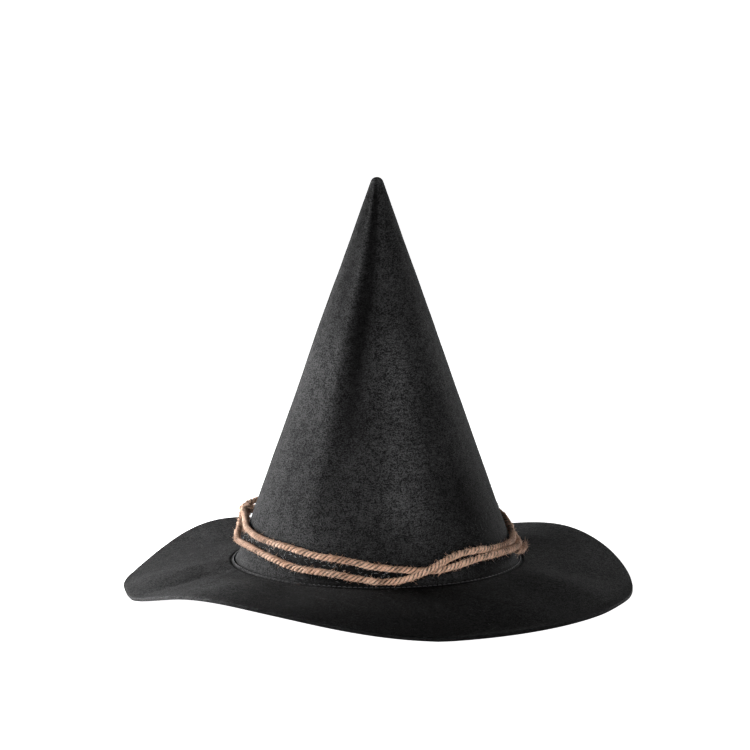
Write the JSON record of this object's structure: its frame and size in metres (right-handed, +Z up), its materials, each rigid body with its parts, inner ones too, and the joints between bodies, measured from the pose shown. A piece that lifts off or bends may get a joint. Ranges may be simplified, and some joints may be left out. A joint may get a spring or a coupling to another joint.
{
  "type": "witch hat",
  "caption": "Tall pointed black felt hat with a wide wavy brim, a doubled jute twine band tied round its foot, and an inner ribbon sweatband with a sizing tab.",
  "frame": {"origin": "bottom centre of the hat's bounding box, on the table that the brim's low lobes rest on", "axes": "+Z up along the crown's axis, +X to the wearer's left, front towards -Y, back seam and size tab towards +Y"},
  "size_m": [0.3507, 0.3515, 0.286],
  "materials": {
    "felt": "matt black needled felt",
    "ribbon": "black grosgrain ribbon",
    "loop_tape": "black loop tape",
    "hook_tape": "black hook tape",
    "label": "blank white satin ribbon",
    "thread": "black sewing thread",
    "twine": "tan three-ply jute twine"
  },
  "bodies": {
    "hat": {"crown": "felt", "brim": "felt", "sweatband": "ribbon", "loop_patch": "loop_tape", "brim_seam_thread": "thread", "sweatband_thread": "thread", "back_seam_thread": "thread"},
    "hatband": {"twine_upper_turn": "twine", "twine_lower_turn": "twine", "twine_knot": "twine", "twine_right_tail": "twine", "twine_left_tail": "twine"},
    "size_tab": {"size_tab": "ribbon", "hook_patch": "hook_tape"},
    "care_label": {"care_label": "label"}
  },
  "joints": [
    {"name": "hatband_lift", "type": "slide", "parent": "hat", "child": "hatband", "axis": [0, 0, 1], "range_m": [0, 0.27]},
    {"name": "size_tab_peel", "type": "hinge", "parent": "hat", "child": "size_tab", "pos_m": [-0.01268, 0.08747, 0.0335], "axis": [-0.048, 0.331, -0.9424], "range_deg": [0, 90]},
    {"name": "care_label_flap", "type": "hinge", "parent": "hat", "child": "care_label", "pos_m": [-0.06372, 0.05346, 0.0455], "axis": [-0.6428, -0.766, 0], "range_deg": [-12, 120]}
  ]
}
